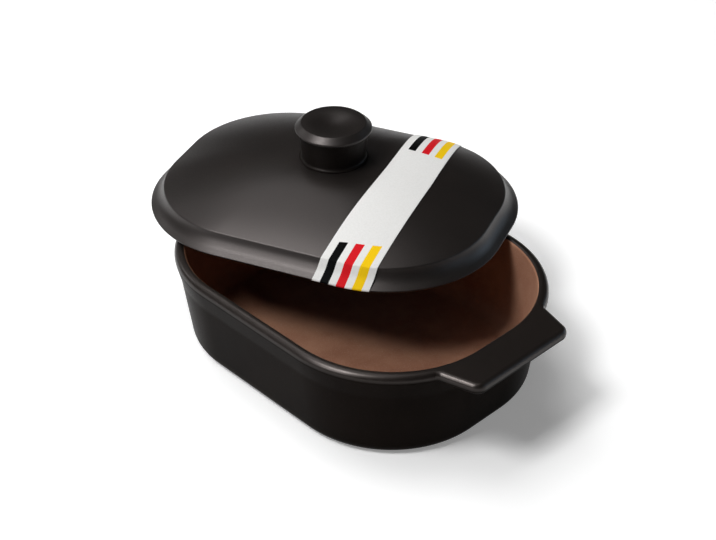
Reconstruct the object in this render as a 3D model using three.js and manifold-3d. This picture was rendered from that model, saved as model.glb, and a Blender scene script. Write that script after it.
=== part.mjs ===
// A clay bread baker: an oblong dish with a flat handle at each end, and a domed lid with a round
// knob and a paper band. The lid lies askew on the dish, level, on the ring under its edge.
// Millimetres, +Z up. The origin is the middle of the dish's underside.
import * as THREE from 'three';
import Module from 'manifold-3d';

// Outline shared by the rim of the dish and the edge of the lid
const LENGTH = 300;
const WIDTH = 228;
const END_STRAIGHT = 34;
const CORNER_STEPS = 9;
const SIDE_STEPS = 6;
const END_STEPS = 2;

// Dish
const DISH_HEIGHT = 81.5;
const RIM_WIDTH = 8.5;
const RIM_INNER_ROUND = 3;
const RIM_OUTER_ROUND = 5;
const LIP_HEIGHT = 9;
const LIP_PROUD = 3.6;
const LIP_ROUND = 5.2;
const WALL_LEAN = 7.4;
const WALL_THICKNESS = 8;
const FLOOR_THICKNESS = 9;
const INNER_FLOOR_ROUND = 14;
const FOOT_ROUND = 10;

// Handles
const HANDLE_REACH = 22.2;
const HANDLE_ROOT_WIDTH = 122;
const HANDLE_TIP_WIDTH = 98;
const HANDLE_THICKNESS = 9.2;
const HANDLE_CORNER = 9;
const HANDLE_EDGE_ROUND = 4;
const HANDLE_BITE = 8.2;
const HANDLE_ROOT_STEPS = 6;

// Lid
const LID_SET_IN = 1.8;
const LID_EDGE_HEIGHT = 1.4;
const FLANGE_WIDTH = 6.85;
const FLANGE_SLOPE = 32;
const COVE_RADIUS = 20;
const STEP_HEIGHT = 9.32;
const STEP_SLOPE = 66;
const CREASE_ROUND = 1.4;
const CROWN_EDGE_SLOPE = 26;
const CROWN_RISE = 26.7;
const CROWN_FULLNESS = 1.72;
const CROWN_STEPS = 8;
const LID_THICKNESS = 9;

// Ring under the lid that drops into the mouth of the dish
const RING_DEPTH = 4;
const RING_WIDTH = 4.5;
const RING_CLEARANCE = 2;
const RING_ROUND = 1.2;
const HOLLOW_SET_BACK = 3;

// Knob, from its foot up
const KNOB_BASE_RADIUS = 25.5;
const KNOB_FOOT_SPREAD = 2.5;
const KNOB_FOOT_EDGE = 0.5;
const KNOB_SIDE_FLARE = 2.7;
const KNOB_SIDE_HEIGHT = 24;
const KNOB_SIDE_ROUND = 1;
const KNOB_LEDGE_WIDTH = 2.7;
const KNOB_LEDGE_HEIGHT = 1.4;
const KNOB_EDGE_DEPTH = 1.6;
const KNOB_EDGE_ROUND = 0.9;
const KNOB_BEVEL_WIDTH = 4.9;
const KNOB_BEVEL_HEIGHT = 4.3;
const KNOB_RING_WIDTH = 3;
const KNOB_DISH_DEPTH = 3.6;
const KNOB_DISH_STEPS = 8;
const KNOB_SEGMENTS = 40;
const KNOB_SEAT_MARGIN = 1;

// Paper band over the lid
const BAND_WIDTH = 38.6;
const BAND_FLARE = 4.6;
const BAND_TAPER = 2.3;
const BAND_THICKNESS = 0.4;
const BAND_MIDDLE = 64.7;
const BAND_BOW = 12.4;
const BAND_SLANT = 0.9;
const BAND_SAG = 0.35;
const BAND_SAG_RADIUS = 20;
const BAND_COLUMNS = 6;
const BAND_STEPS = 20;

// How the lid lies on the dish
const LID_TURN = 22.9;
const LID_SHIFT_X = -71.2;
const LID_SHIFT_Y = 41.7;
const SEAT_GAP = 0.3;

// Sizes that follow from the ones above
const radians = THREE.MathUtils.degToRad;
const HALF_LENGTH = LENGTH / 2;
const HALF_WIDTH = WIDTH / 2;
const SIDE_CENTRE = END_STRAIGHT / 2;
const CORNER_RADIUS = HALF_WIDTH - SIDE_CENTRE;
const END_CENTRE = HALF_LENGTH - CORNER_RADIUS;
const LID_EDGE_ROUND = LID_EDGE_HEIGHT * 0.57;
const COVE_HEIGHT = LID_EDGE_HEIGHT + FLANGE_WIDTH * Math.tan(radians(FLANGE_SLOPE));
const CREASE_INSET = FLANGE_WIDTH + STEP_HEIGHT / Math.tan(radians(STEP_SLOPE));
const CREASE_HEIGHT = COVE_HEIGHT + STEP_HEIGHT;
const CROWN_HEIGHT = CREASE_HEIGHT + CROWN_RISE;
const RING_INSET = RIM_WIDTH + RING_CLEARANCE - LID_SET_IN;
const RING_INNER = RING_INSET + RING_WIDTH;
const HOLLOW_EDGE_HEIGHT = CREASE_HEIGHT - LID_THICKNESS;
const KNOB_FOOT_RADIUS = KNOB_BASE_RADIUS + KNOB_FOOT_SPREAD;
const KNOB_SEAT_RADIUS = KNOB_FOOT_RADIUS + KNOB_SEAT_MARGIN;
const KNOB_SIDE_RADIUS = KNOB_BASE_RADIUS + KNOB_SIDE_FLARE;
const KNOB_EDGE_RADIUS = KNOB_SIDE_RADIUS + KNOB_LEDGE_WIDTH;
const KNOB_EDGE_LOW = KNOB_SIDE_HEIGHT + KNOB_LEDGE_HEIGHT;
const KNOB_EDGE_HIGH = KNOB_EDGE_LOW + KNOB_EDGE_DEPTH;
const KNOB_TOP_RADIUS = KNOB_EDGE_RADIUS - KNOB_BEVEL_WIDTH;
const KNOB_DISH_RADIUS = KNOB_TOP_RADIUS - KNOB_RING_WIDTH;
const KNOB_HEIGHT = KNOB_EDGE_HIGH + KNOB_BEVEL_HEIGHT;
const LID_LEVEL = DISH_HEIGHT + RING_DEPTH + SEAT_GAP;

/** Rounds the corners of a path; each corner is [u, v, radius, steps]. */
function roundedPath(corners, closed = false) {
  const points = [];
  const count = corners.length;
  corners.forEach(([u, v, radius = 0, steps = 5], index) => {
    const isEnd = !closed && (index === 0 || index === count - 1);
    if (isEnd || radius === 0) {
      points.push(new THREE.Vector2(u, v));
      return;
    }
    const corner = new THREE.Vector2(u, v);
    const before = corners[(index + count - 1) % count];
    const after = corners[(index + 1) % count];
    const back = new THREE.Vector2(before[0] - u, before[1] - v).normalize();
    const ahead = new THREE.Vector2(after[0] - u, after[1] - v).normalize();
    const half = Math.acos(THREE.MathUtils.clamp(back.dot(ahead), -1, 1)) / 2;
    const reach = radius / Math.tan(half);
    const middle = back.clone().add(ahead).normalize();
    const centre = corner.clone().addScaledVector(middle, radius / Math.sin(half));
    const first = corner.clone().addScaledVector(back, reach).sub(centre);
    const last = corner.clone().addScaledVector(ahead, reach).sub(centre);
    const turn = Math.atan2(first.cross(last), first.dot(last));
    for (let step = 0; step <= steps; step += 1) {
      const arm = first.clone().rotateAround(new THREE.Vector2(), (turn * step) / steps);
      points.push(centre.clone().add(arm));
    }
  });
  return points;
}

/** The shared outline, drawn in by an inset, as one ring of points at a height. */
function outlineRing(inset, height) {
  const ring = [];
  const radius = CORNER_RADIUS - inset;
  const corners = [[1, 1, 0], [-1, 1, 90], [-1, -1, 180], [1, -1, 270]];
  corners.forEach(([sideX, sideY, start], index) => {
    for (let step = 0; step <= CORNER_STEPS; step += 1) {
      const angle = radians(start + (90 * step) / CORNER_STEPS);
      const x = sideX * END_CENTRE + radius * Math.cos(angle);
      const y = sideY * SIDE_CENTRE + radius * Math.sin(angle);
      ring.push(new THREE.Vector3(x, y, height));
    }
    const last = ring[ring.length - 1];
    const straightSteps = index % 2 === 0 ? SIDE_STEPS : END_STEPS;
    const target = index % 2 === 0
      ? new THREE.Vector3(-last.x, last.y, height)
      : new THREE.Vector3(last.x, -last.y, height);
    for (let step = 1; step < straightSteps; step += 1) {
      ring.push(last.clone().lerp(target, step / straightSteps));
    }
  });
  return ring;
}

/** A ring of the lid, whose edge is set in a little from the rim's outline. */
function lidRing(inset, height) {
  return outlineRing(LID_SET_IN + inset, height);
}

/** A ring part of the way from an outline ring to a circle round the middle. */
function crownRing(edge, circleRadius, share, height) {
  return edge.map((point) => {
    const reach = Math.hypot(point.x, point.y);
    const scale = THREE.MathUtils.lerp(reach, circleRadius, share) / reach;
    return new THREE.Vector3(point.x * scale, point.y * scale, height);
  });
}

/** How far the crown has risen, from 0 at its edge to 1 at the knob's seat. */
function crownProfile(share) {
  return 1 - (1 - share) ** CROWN_FULLNESS;
}

/** Joins rings of equal count into one closed body, with a flat cap at each end. */
function loft(rings) {
  const count = rings[0].length;
  const positions = [];
  const indices = [];
  rings.forEach((ring) => ring.forEach((point) => positions.push(point.x, point.y, point.z)));
  for (let row = 0; row + 1 < rings.length; row += 1) {
    for (let column = 0; column < count; column += 1) {
      const next = (column + 1) % count;
      const a = row * count + column;
      const b = row * count + next;
      const c = (row + 1) * count + next;
      const d = (row + 1) * count + column;
      indices.push(a, d, c, a, c, b);
    }
  }
  const caps = [[0, false], [rings.length - 1, true]];
  caps.forEach(([row, reversed]) => {
    const middle = positions.length / 3;
    positions.push(0, 0, rings[row][0].z);
    for (let column = 0; column < count; column += 1) {
      const a = row * count + column;
      const b = row * count + ((column + 1) % count);
      indices.push(middle, reversed ? b : a, reversed ? a : b);
    }
  });
  const geometry = new THREE.BufferGeometry();
  geometry.setAttribute('position', new THREE.Float32BufferAttribute(positions, 3));
  geometry.setIndex(indices);
  return geometry;
}

const wasm = await Module();
wasm.setup();

/** A geometry as a solid for joining. */
function solid(geometry) {
  const places = geometry.getAttribute('position');
  const order = geometry.getIndex();
  const total = order ? order.count : places.count;
  const known = new Map();
  const vertProperties = [];
  const triVerts = [];
  for (let index = 0; index < total; index += 1) {
    const vertex = order ? order.getX(index) : index;
    const point = [places.getX(vertex), places.getY(vertex), places.getZ(vertex)];
    const key = point.map((value) => Math.round(value * 1e4)).join(' ');
    if (!known.has(key)) {
      known.set(key, vertProperties.length / 3);
      vertProperties.push(...point);
    }
    triVerts.push(known.get(key));
  }
  return new wasm.Manifold(new wasm.Mesh({
    numProp: 3,
    vertProperties: new Float32Array(vertProperties),
    triVerts: new Uint32Array(triVerts),
  }));
}

/** A joined solid as a geometry again. */
function geometryOf(body) {
  const mesh = body.getMesh();
  const geometry = new THREE.BufferGeometry();
  geometry.setAttribute('position', new THREE.Float32BufferAttribute(mesh.vertProperties, 3));
  geometry.setIndex(Array.from(mesh.triVerts));
  return geometry;
}

/** The dish without its handles: floor, leaning wall, rounded rim with a lip, flat underside. */
function dishShell() {
  const lipFoot = DISH_HEIGHT - LIP_HEIGHT;
  const footInset = LIP_PROUD + WALL_LEAN;
  const floorInset = footInset + WALL_THICKNESS;
  const flatInset = floorInset + INNER_FLOOR_ROUND * 2;
  const profile = roundedPath([
    [flatInset, FLOOR_THICKNESS],
    [floorInset, FLOOR_THICKNESS, INNER_FLOOR_ROUND, 6],
    [RIM_WIDTH, DISH_HEIGHT, RIM_INNER_ROUND, 4],
    [0, DISH_HEIGHT, RIM_OUTER_ROUND, 5],
    [0, lipFoot, LIP_ROUND, 3],
    [LIP_PROUD, lipFoot - LIP_PROUD, LIP_ROUND, 3],
    [footInset, 0, FOOT_ROUND, 6],
    [flatInset, 0],
  ]);
  return loft(profile.map((point) => outlineRing(point.x, point.y)));
}

/** One flat handle, level with the rim, on the end that side points to. */
function handle(side) {
  const biteRadius = CORNER_RADIUS - HANDLE_BITE;
  const rootHalf = HANDLE_ROOT_WIDTH / 2;
  const tipHalf = HANDLE_TIP_WIDTH / 2;
  const spread = Math.asin((rootHalf - SIDE_CENTRE) / biteRadius);
  const tip = HALF_LENGTH + HANDLE_REACH;
  const corners = [];
  for (let step = -HANDLE_ROOT_STEPS; step <= HANDLE_ROOT_STEPS; step += 1) {
    const angle = (spread * step) / HANDLE_ROOT_STEPS;
    const x = END_CENTRE + biteRadius * Math.cos(angle);
    const y = biteRadius * Math.sin(angle);
    if (step <= 0) {
      corners.push([x, y - SIDE_CENTRE]);
    }
    if (step >= 0) {
      corners.push([x, y + SIDE_CENTRE]);
    }
  }
  corners.push([tip, tipHalf, HANDLE_CORNER, 6]);
  corners.push([tip, -tipHalf, HANDLE_CORNER, 6]);
  const plan = new THREE.Shape(roundedPath(corners, true));
  const geometry = new THREE.ExtrudeGeometry(plan, {
    depth: HANDLE_THICKNESS - 2 * HANDLE_EDGE_ROUND,
    bevelEnabled: true,
    bevelThickness: HANDLE_EDGE_ROUND,
    bevelSize: HANDLE_EDGE_ROUND,
    bevelOffset: -HANDLE_EDGE_ROUND,
    bevelSegments: 4,
    curveSegments: 1,
  });
  geometry.translate(0, 0, DISH_HEIGHT - HANDLE_THICKNESS + HANDLE_EDGE_ROUND);
  if (side < 0) {
    geometry.rotateZ(Math.PI);
  }
  return geometry;
}

/** Insets and heights of the lid's outside, from the edge of the crown down to its own edge. */
function lidEdgeProfile() {
  const crownRun = CREASE_ROUND * 4;
  const crownLift = crownRun * Math.tan(radians(CROWN_EDGE_SLOPE));
  return roundedPath([
    [CREASE_INSET + crownRun, CREASE_HEIGHT + crownLift],
    [CREASE_INSET, CREASE_HEIGHT, CREASE_ROUND, 3],
    [FLANGE_WIDTH, COVE_HEIGHT, COVE_RADIUS, 5],
    [0, LID_EDGE_HEIGHT, LID_EDGE_ROUND, 3],
    [0, 0],
  ]).slice(1, -1);
}

/** Insets and heights of the lid's underside, from its edge over the ring to the hollow. */
function lidUnderProfile() {
  return roundedPath([
    [0, LID_EDGE_HEIGHT],
    [0, 0, LID_EDGE_ROUND, 3],
    [RING_INSET, 0],
    [RING_INSET, -RING_DEPTH, RING_ROUND, 3],
    [RING_INNER, -RING_DEPTH, RING_ROUND, 3],
    [RING_INNER, HOLLOW_EDGE_HEIGHT - HOLLOW_SET_BACK],
    [RING_INNER + HOLLOW_SET_BACK, HOLLOW_EDGE_HEIGHT],
  ]).slice(1, -1);
}

const LID_EDGE = lidEdgeProfile();
const CROWN_EDGE_INSET = LID_EDGE[0].x;
const CROWN_EDGE_HEIGHT = LID_EDGE[0].y;

/** Rings of a crown, from a circle under the knob out to an outline ring. */
function crownRings(edge, edgeHeight, topHeight) {
  const rings = [];
  for (let step = 0; step <= CROWN_STEPS; step += 1) {
    const share = 1 - step / CROWN_STEPS;
    const height = THREE.MathUtils.lerp(edgeHeight, topHeight, crownProfile(share));
    rings.push(crownRing(edge, KNOB_SEAT_RADIUS, share, height));
  }
  return rings;
}

/** The lid: flat seat for the knob, crown, crease, coved edge, ring below and hollow inside. */
function lidShell() {
  const crownEdge = lidRing(CROWN_EDGE_INSET, CROWN_EDGE_HEIGHT);
  const crown = crownRings(crownEdge, CROWN_EDGE_HEIGHT, CROWN_HEIGHT);
  const edge = LID_EDGE.slice(1).map((point) => lidRing(point.x, point.y));
  const under = lidUnderProfile().map((point) => lidRing(point.x, point.y));
  const hollowEdge = lidRing(RING_INNER + HOLLOW_SET_BACK, HOLLOW_EDGE_HEIGHT);
  const hollow = crownRings(hollowEdge, HOLLOW_EDGE_HEIGHT, CROWN_HEIGHT - LID_THICKNESS);
  return loft([...crown, ...edge, ...under, ...hollow.reverse()]);
}

/** The knob, turned round its own middle and standing on the seat on the crown. */
function knob() {
  const profile = roundedPath([
    [0, 0],
    [KNOB_FOOT_RADIUS, 0],
    [KNOB_FOOT_RADIUS, KNOB_FOOT_EDGE],
    [KNOB_BASE_RADIUS, KNOB_FOOT_EDGE, KNOB_FOOT_SPREAD * 0.9, 4],
    [KNOB_SIDE_RADIUS, KNOB_SIDE_HEIGHT, KNOB_SIDE_ROUND, 2],
    [KNOB_EDGE_RADIUS, KNOB_EDGE_LOW, KNOB_EDGE_ROUND, 2],
    [KNOB_EDGE_RADIUS, KNOB_EDGE_HIGH, KNOB_EDGE_ROUND, 3],
    [KNOB_TOP_RADIUS, KNOB_HEIGHT],
    [KNOB_DISH_RADIUS, KNOB_HEIGHT],
  ]);
  for (let step = 1; step <= KNOB_DISH_STEPS; step += 1) {
    const share = 1 - step / KNOB_DISH_STEPS;
    const depth = (KNOB_DISH_DEPTH * (1 + Math.cos(Math.PI * share))) / 2;
    profile.push(new THREE.Vector2(KNOB_DISH_RADIUS * share, KNOB_HEIGHT - depth));
  }
  const geometry = new THREE.LatheGeometry(profile, KNOB_SEGMENTS);
  geometry.rotateX(Math.PI / 2);
  geometry.translate(0, 0, CROWN_HEIGHT + SEAT_GAP);
  return geometry;
}

/** Half-width of the lid's outline, drawn in by an inset, at a place along its length. */
function halfWidthAt(x, inset) {
  const past = Math.max(0, Math.abs(x) - END_CENTRE);
  return SIDE_CENTRE + Math.sqrt((CORNER_RADIUS - LID_SET_IN - inset) ** 2 - past ** 2);
}

/** Distance from the middle to the edge of the crown in the direction of a point. */
function crownReach(x, y) {
  const length = Math.hypot(x, y);
  const u = Math.abs(x) / length;
  const v = Math.abs(y) / length;
  const radius = CORNER_RADIUS - LID_SET_IN - CROWN_EDGE_INSET;
  const along = u * END_CENTRE + v * SIDE_CENTRE;
  const spare = radius ** 2 - END_CENTRE ** 2 - SIDE_CENTRE ** 2;
  const corner = along + Math.sqrt(along ** 2 + spare);
  const end = (END_CENTRE + radius) / u;
  const side = (SIDE_CENTRE + radius) / v;
  if (corner * u < END_CENTRE) {
    return side;
  }
  if (corner * v < SIDE_CENTRE) {
    return end;
  }
  return corner;
}

/** Height of the crown over a point of the lid's plan. */
function crownHeightAt(x, y) {
  const edge = crownReach(x, y);
  const share = (edge - Math.hypot(x, y)) / (edge - KNOB_SEAT_RADIUS);
  const rise = crownProfile(THREE.MathUtils.clamp(share, 0, 1));
  return THREE.MathUtils.lerp(CROWN_EDGE_HEIGHT, CROWN_HEIGHT, rise);
}

/** Insets and heights of the band past the crease: it spans the cove and only sags a little into it. */
function bandEdgeProfile() {
  const crownRun = CREASE_ROUND * 4;
  const crownLift = crownRun * Math.tan(radians(CROWN_EDGE_SLOPE));
  const spanHeight = (CREASE_HEIGHT + LID_EDGE_HEIGHT) / 2;
  const sagInset = THREE.MathUtils.lerp(CREASE_INSET / 2, FLANGE_WIDTH, BAND_SAG);
  const sagHeight = THREE.MathUtils.lerp(spanHeight, COVE_HEIGHT, BAND_SAG);
  return roundedPath([
    [CREASE_INSET + crownRun, CREASE_HEIGHT + crownLift],
    [CREASE_INSET, CREASE_HEIGHT, CREASE_ROUND, 3],
    [sagInset, sagHeight, BAND_SAG_RADIUS, 4],
    [0, LID_EDGE_HEIGHT, LID_EDGE_ROUND, 3],
    [0, 0],
  ]).slice(1, -1);
}

const BAND_EDGE = bandEdgeProfile();

/** Plan position of a point of the band: across runs from -1 to 1. */
function bandX(across, y) {
  const along = y / HALF_WIDTH;
  const middle = BAND_MIDDLE - BAND_BOW * along ** 2 - BAND_SLANT * along;
  const width = BAND_WIDTH + BAND_FLARE * along ** 2 - BAND_TAPER * along;
  return middle + (across * width) / 2;
}

/** A point on the lid's outside where the band crosses the outline drawn in by an inset. */
function bandEdgePoint(across, side, inset, height) {
  let y = side * HALF_WIDTH;
  for (let pass = 0; pass < 12; pass += 1) {
    y = side * halfWidthAt(bandX(across, y), inset);
  }
  return new THREE.Vector3(bandX(across, y), y, height);
}

/** One strip of the band along the lid, from its front edge over the crown to its back edge. */
function bandStrip(across) {
  const front = BAND_EDGE.map((point) => bandEdgePoint(across, -1, point.x, point.y)).reverse();
  const back = BAND_EDGE.map((point) => bandEdgePoint(across, 1, point.x, point.y));
  const over = [];
  for (let step = 1; step < BAND_STEPS; step += 1) {
    const y = THREE.MathUtils.lerp(front[front.length - 1].y, back[0].y, step / BAND_STEPS);
    const x = bandX(across, y);
    over.push(new THREE.Vector3(x, y, crownHeightAt(x, y)));
  }
  return [...front, ...over, ...back];
}

/** The paper band: a thin sheet that lies over the lid at a small gap. */
function paperBand() {
  const strips = [];
  for (let column = 0; column <= BAND_COLUMNS; column += 1) {
    strips.push(bandStrip((2 * column) / BAND_COLUMNS - 1));
  }
  const rows = strips[0].length;
  const columns = strips.length;
  const normals = strips.map((strip, column) => strip.map((point, row) => {
    const left = strips[Math.max(column - 1, 0)][row];
    const right = strips[Math.min(column + 1, columns - 1)][row];
    const before = strip[Math.max(row - 1, 0)];
    const after = strip[Math.min(row + 1, rows - 1)];
    const across = right.clone().sub(left);
    const along = after.clone().sub(before);
    return across.cross(along).normalize();
  }));
  const positions = [];
  const layer = (offset) => strips.forEach((strip, column) => strip.forEach((point, row) => {
    const place = point.clone().addScaledVector(normals[column][row], offset);
    positions.push(place.x, place.y, place.z);
  }));
  layer(SEAT_GAP);
  layer(SEAT_GAP + BAND_THICKNESS);
  const indices = [];
  const top = rows * columns;
  const quad = (a, b, c, d) => indices.push(a, b, c, a, c, d);
  for (let column = 0; column + 1 < columns; column += 1) {
    for (let row = 0; row + 1 < rows; row += 1) {
      const a = column * rows + row;
      quad(top + a, top + a + rows, top + a + rows + 1, top + a + 1);
      quad(a, a + 1, a + rows + 1, a + rows);
    }
    const first = column * rows;
    const last = first + rows - 1;
    quad(first, first + rows, top + first + rows, top + first);
    quad(last + rows, last, top + last, top + last + rows);
  }
  for (let row = 0; row + 1 < rows; row += 1) {
    const far = (columns - 1) * rows + row;
    quad(row + 1, row, top + row, top + row + 1);
    quad(far, far + 1, top + far + 1, top + far);
  }
  const geometry = new THREE.BufferGeometry();
  geometry.setAttribute('position', new THREE.Float32BufferAttribute(positions, 3));
  geometry.setIndex(indices);
  return geometry;
}

/** A named mesh with its own colour. */
function piece(name, geometry, colour, roughness) {
  const material = new THREE.MeshStandardMaterial({ color: colour, roughness, metalness: 0 });
  const mesh = new THREE.Mesh(geometry, material);
  mesh.name = name;
  return mesh;
}

const dishBody = solid(dishShell()).add(solid(handle(1))).add(solid(handle(-1)));

const lidAssembly = new THREE.Group();
lidAssembly.add(piece('lid', lidShell(), 0x3a3533, 0.6));
lidAssembly.add(piece('lid_knob', geometryOf(solid(knob())), 0x342f2d, 0.6));
lidAssembly.add(piece('paper_band', paperBand(), 0xf2f0ec, 0.8));
lidAssembly.rotation.z = radians(LID_TURN);
lidAssembly.position.set(LID_SHIFT_X, LID_SHIFT_Y, LID_LEVEL);

const baker = new THREE.Group();
baker.name = 'clay_bread_baker';
baker.add(piece('baking_dish', geometryOf(dishBody), 0x2e2927, 0.6));
baker.add(lidAssembly);

export default baker;
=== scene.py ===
"""Dresses the packed clay bread baker: finer meshes for dish, lid, knob and paper band, fired-clay,
bare-clay and paper finishes, a pale floor, soft studio light and the camera."""

import logging
import math
from dataclasses import dataclass, field
from enum import Enum

import bmesh
import bpy
from mathutils import Matrix, Vector


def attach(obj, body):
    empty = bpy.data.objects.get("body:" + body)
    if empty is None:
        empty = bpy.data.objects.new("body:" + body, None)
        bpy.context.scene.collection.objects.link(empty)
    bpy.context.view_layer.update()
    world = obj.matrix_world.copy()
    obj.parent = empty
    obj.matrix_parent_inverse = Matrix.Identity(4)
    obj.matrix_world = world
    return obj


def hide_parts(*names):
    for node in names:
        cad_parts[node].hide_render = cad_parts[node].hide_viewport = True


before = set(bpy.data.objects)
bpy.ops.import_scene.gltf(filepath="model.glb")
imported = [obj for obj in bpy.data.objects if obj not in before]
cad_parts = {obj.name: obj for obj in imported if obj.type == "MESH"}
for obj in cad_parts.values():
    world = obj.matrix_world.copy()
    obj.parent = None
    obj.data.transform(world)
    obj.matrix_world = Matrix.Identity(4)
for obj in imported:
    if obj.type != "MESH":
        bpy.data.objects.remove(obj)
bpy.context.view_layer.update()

Colour = tuple[float, float, float]
Place = tuple[float, float, float]
Station = tuple[float, float]
Piece = bpy.types.Object
Socket = bpy.types.NodeSocket

MM = 0.001
MERGE_DISTANCE = 0.02 * MM
LEVEL_TOLERANCE = 0.01 * MM
ROUND_PROFILE = 0.5
FACE_WEIGHT = 60
WHOLE: Station = (0.0, 1.0)
CLOUD_SPAN: Station = (0.35, 0.65)
GRAIN_SPAN: Station = (0.3, 0.7)
WHITE: Colour = (1.0, 1.0, 1.0)
COOL: Colour = (0.58, 0.79, 1.0)
LOG = logging.getLogger("bread_baker")


class Body(Enum):
    """The rigid bodies that pieces ride on."""

    DISH = "dish"
    COVER = "cover"


class Facing(Enum):
    """Which way a plate of clay faces while it is drawn through its profile."""

    UP = 1
    DOWN = -1


class Tool(Enum):
    """Modifiers that finish a mesh."""

    UNION = "BOOLEAN"
    THICKNESS = "SOLIDIFY"
    EVEN_NORMALS = "WEIGHTED_NORMAL"


class Space(Enum):
    """The coordinates that a pattern follows."""

    PIECE = "Object"
    SHEET = "UV"


class Arithmetic(Enum):
    """Steps of arithmetic between shader values."""

    SUM = "ADD"
    PRODUCT = "MULTIPLY"
    PRODUCT_PLUS = "MULTIPLY_ADD"
    LARGER = "MAXIMUM"
    BELOW = "LESS_THAN"
    ABOVE = "GREATER_THAN"
    NEAR = "COMPARE"


@dataclass(frozen=True)
class Corner:
    """One corner of a profile, in millimetres: inset from the outline, height, rounding and its steps."""

    inset: float
    height: float
    radius: float = 0.0
    steps: int = 8


def rounded(corners: list[Corner]) -> list[Station]:
    """Rounds the inner corners of a profile.

    Args:
        corners: the profile's corners in order.

    Returns:
        The stations along the profile as (inset, height) pairs.
    """
    stations: list[Station] = []
    for index, corner in enumerate(corners):
        here = Vector((corner.inset, corner.height))
        if corner.radius == 0.0 or index in (0, len(corners) - 1):
            stations.append((here.x, here.y))
            continue
        before, after = corners[index - 1], corners[index + 1]
        back = (Vector((before.inset, before.height)) - here).normalized()
        ahead = (Vector((after.inset, after.height)) - here).normalized()
        half = back.angle(ahead) / 2
        reach = corner.radius / math.tan(half)
        centre = here + (back + ahead).normalized() * (corner.radius / math.sin(half))
        first = here + back * reach - centre
        last = here + ahead * reach - centre
        turn = math.atan2(first.x * last.y - first.y * last.x, first.dot(last))
        for step in range(corner.steps + 1):
            angle = turn * step / corner.steps
            arm_x = first.x * math.cos(angle) - first.y * math.sin(angle)
            arm_y = first.x * math.sin(angle) + first.y * math.cos(angle)
            stations.append((centre.x + arm_x, centre.y + arm_y))
    return stations


def swing(centre: Vector, arm: Vector, turn: float, steps: int) -> list[Vector]:
    """Points of the arc that an arm draws as it swings round a centre by an angle in radians."""
    return [centre + Matrix.Rotation(turn * step / steps, 2) @ arm for step in range(steps + 1)]


def only(piece: Piece) -> None:
    """Selects one object alone and makes it the active one.

    Args:
        piece: the object.
    """
    bpy.ops.object.select_all(action="DESELECT")
    piece.select_set(True)
    bpy.context.view_layer.objects.active = piece


def edit() -> None:
    """Opens the active piece for editing, all selected."""
    bpy.ops.object.mode_set(mode="EDIT")
    bpy.ops.mesh.select_all(action="SELECT")


def leave() -> None:
    """Goes back from editing to whole pieces."""
    bpy.ops.object.mode_set(mode="OBJECT")


def extrude(rise: float) -> None:
    """Extrudes what is selected straight up, by millimetres."""
    bpy.ops.mesh.extrude_region_move(TRANSFORM_OT_translate={"value": (0.0, 0.0, rise * MM)})


def draw_in(stations: list[Station], facing: Facing) -> None:
    """Draws the selected face in and along its normal through the stations of a profile.

    Args:
        stations: insets and heights, the first being where the face is.
        facing: the way the face points.
    """
    for (inset, height), (next_inset, next_height) in zip(stations, stations[1:]):
        bpy.ops.mesh.inset(
            thickness=max(next_inset - inset, 0.0) * MM,
            depth=facing.value * (next_height - height) * MM,
            use_even_offset=True,
            use_select_inset=False,
        )


def join_shells(upper: Piece, lower: Piece) -> Piece:
    """Joins two open shells along the outline they share.

    Args:
        upper: the shell that is kept.
        lower: the shell that is joined to it.

    Returns:
        The closed piece.
    """
    only(upper)
    lower.select_set(True)
    bpy.ops.object.join()
    edit()
    bpy.ops.mesh.remove_doubles(threshold=MERGE_DISTANCE)
    leave()
    return upper


def apply_tool(piece: Piece, tool: Tool, **settings: object) -> None:
    """Adds a modifier with its settings and applies it.

    Args:
        piece: the object that is worked on.
        tool: the kind of modifier.
        **settings: the modifier's own settings.
    """
    only(piece)
    bpy.ops.object.modifier_add(type=tool.value)
    modifier = piece.modifiers[-1]
    for key, value in settings.items():
        setattr(modifier, key, value)
    bpy.ops.object.modifier_apply(modifier=modifier.name)


def smooth(piece: Piece, angle: float = 32.0) -> None:
    """Shades a piece smooth, with the broad faces kept even.

    Args:
        piece: the piece.
        angle: the angle in degrees from which an edge stays sharp.
    """
    only(piece)
    bpy.ops.object.shade_smooth_by_angle(angle=math.radians(angle))
    apply_tool(piece, Tool.EVEN_NORMALS, weight=FACE_WEIGHT, keep_sharp=True)


def put(piece: Piece, body: Body, node: str) -> None:
    """Lets a piece stand for a CAD node and ride on its body.

    Args:
        piece: the finished piece, with its place in its mesh.
        body: the body that it moves with.
        node: the CAD node that it stands for.
    """
    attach(piece, body.value)
    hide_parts(node)
    LOG.info("%s: %d faces", piece.name, len(piece.data.polygons))


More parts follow.
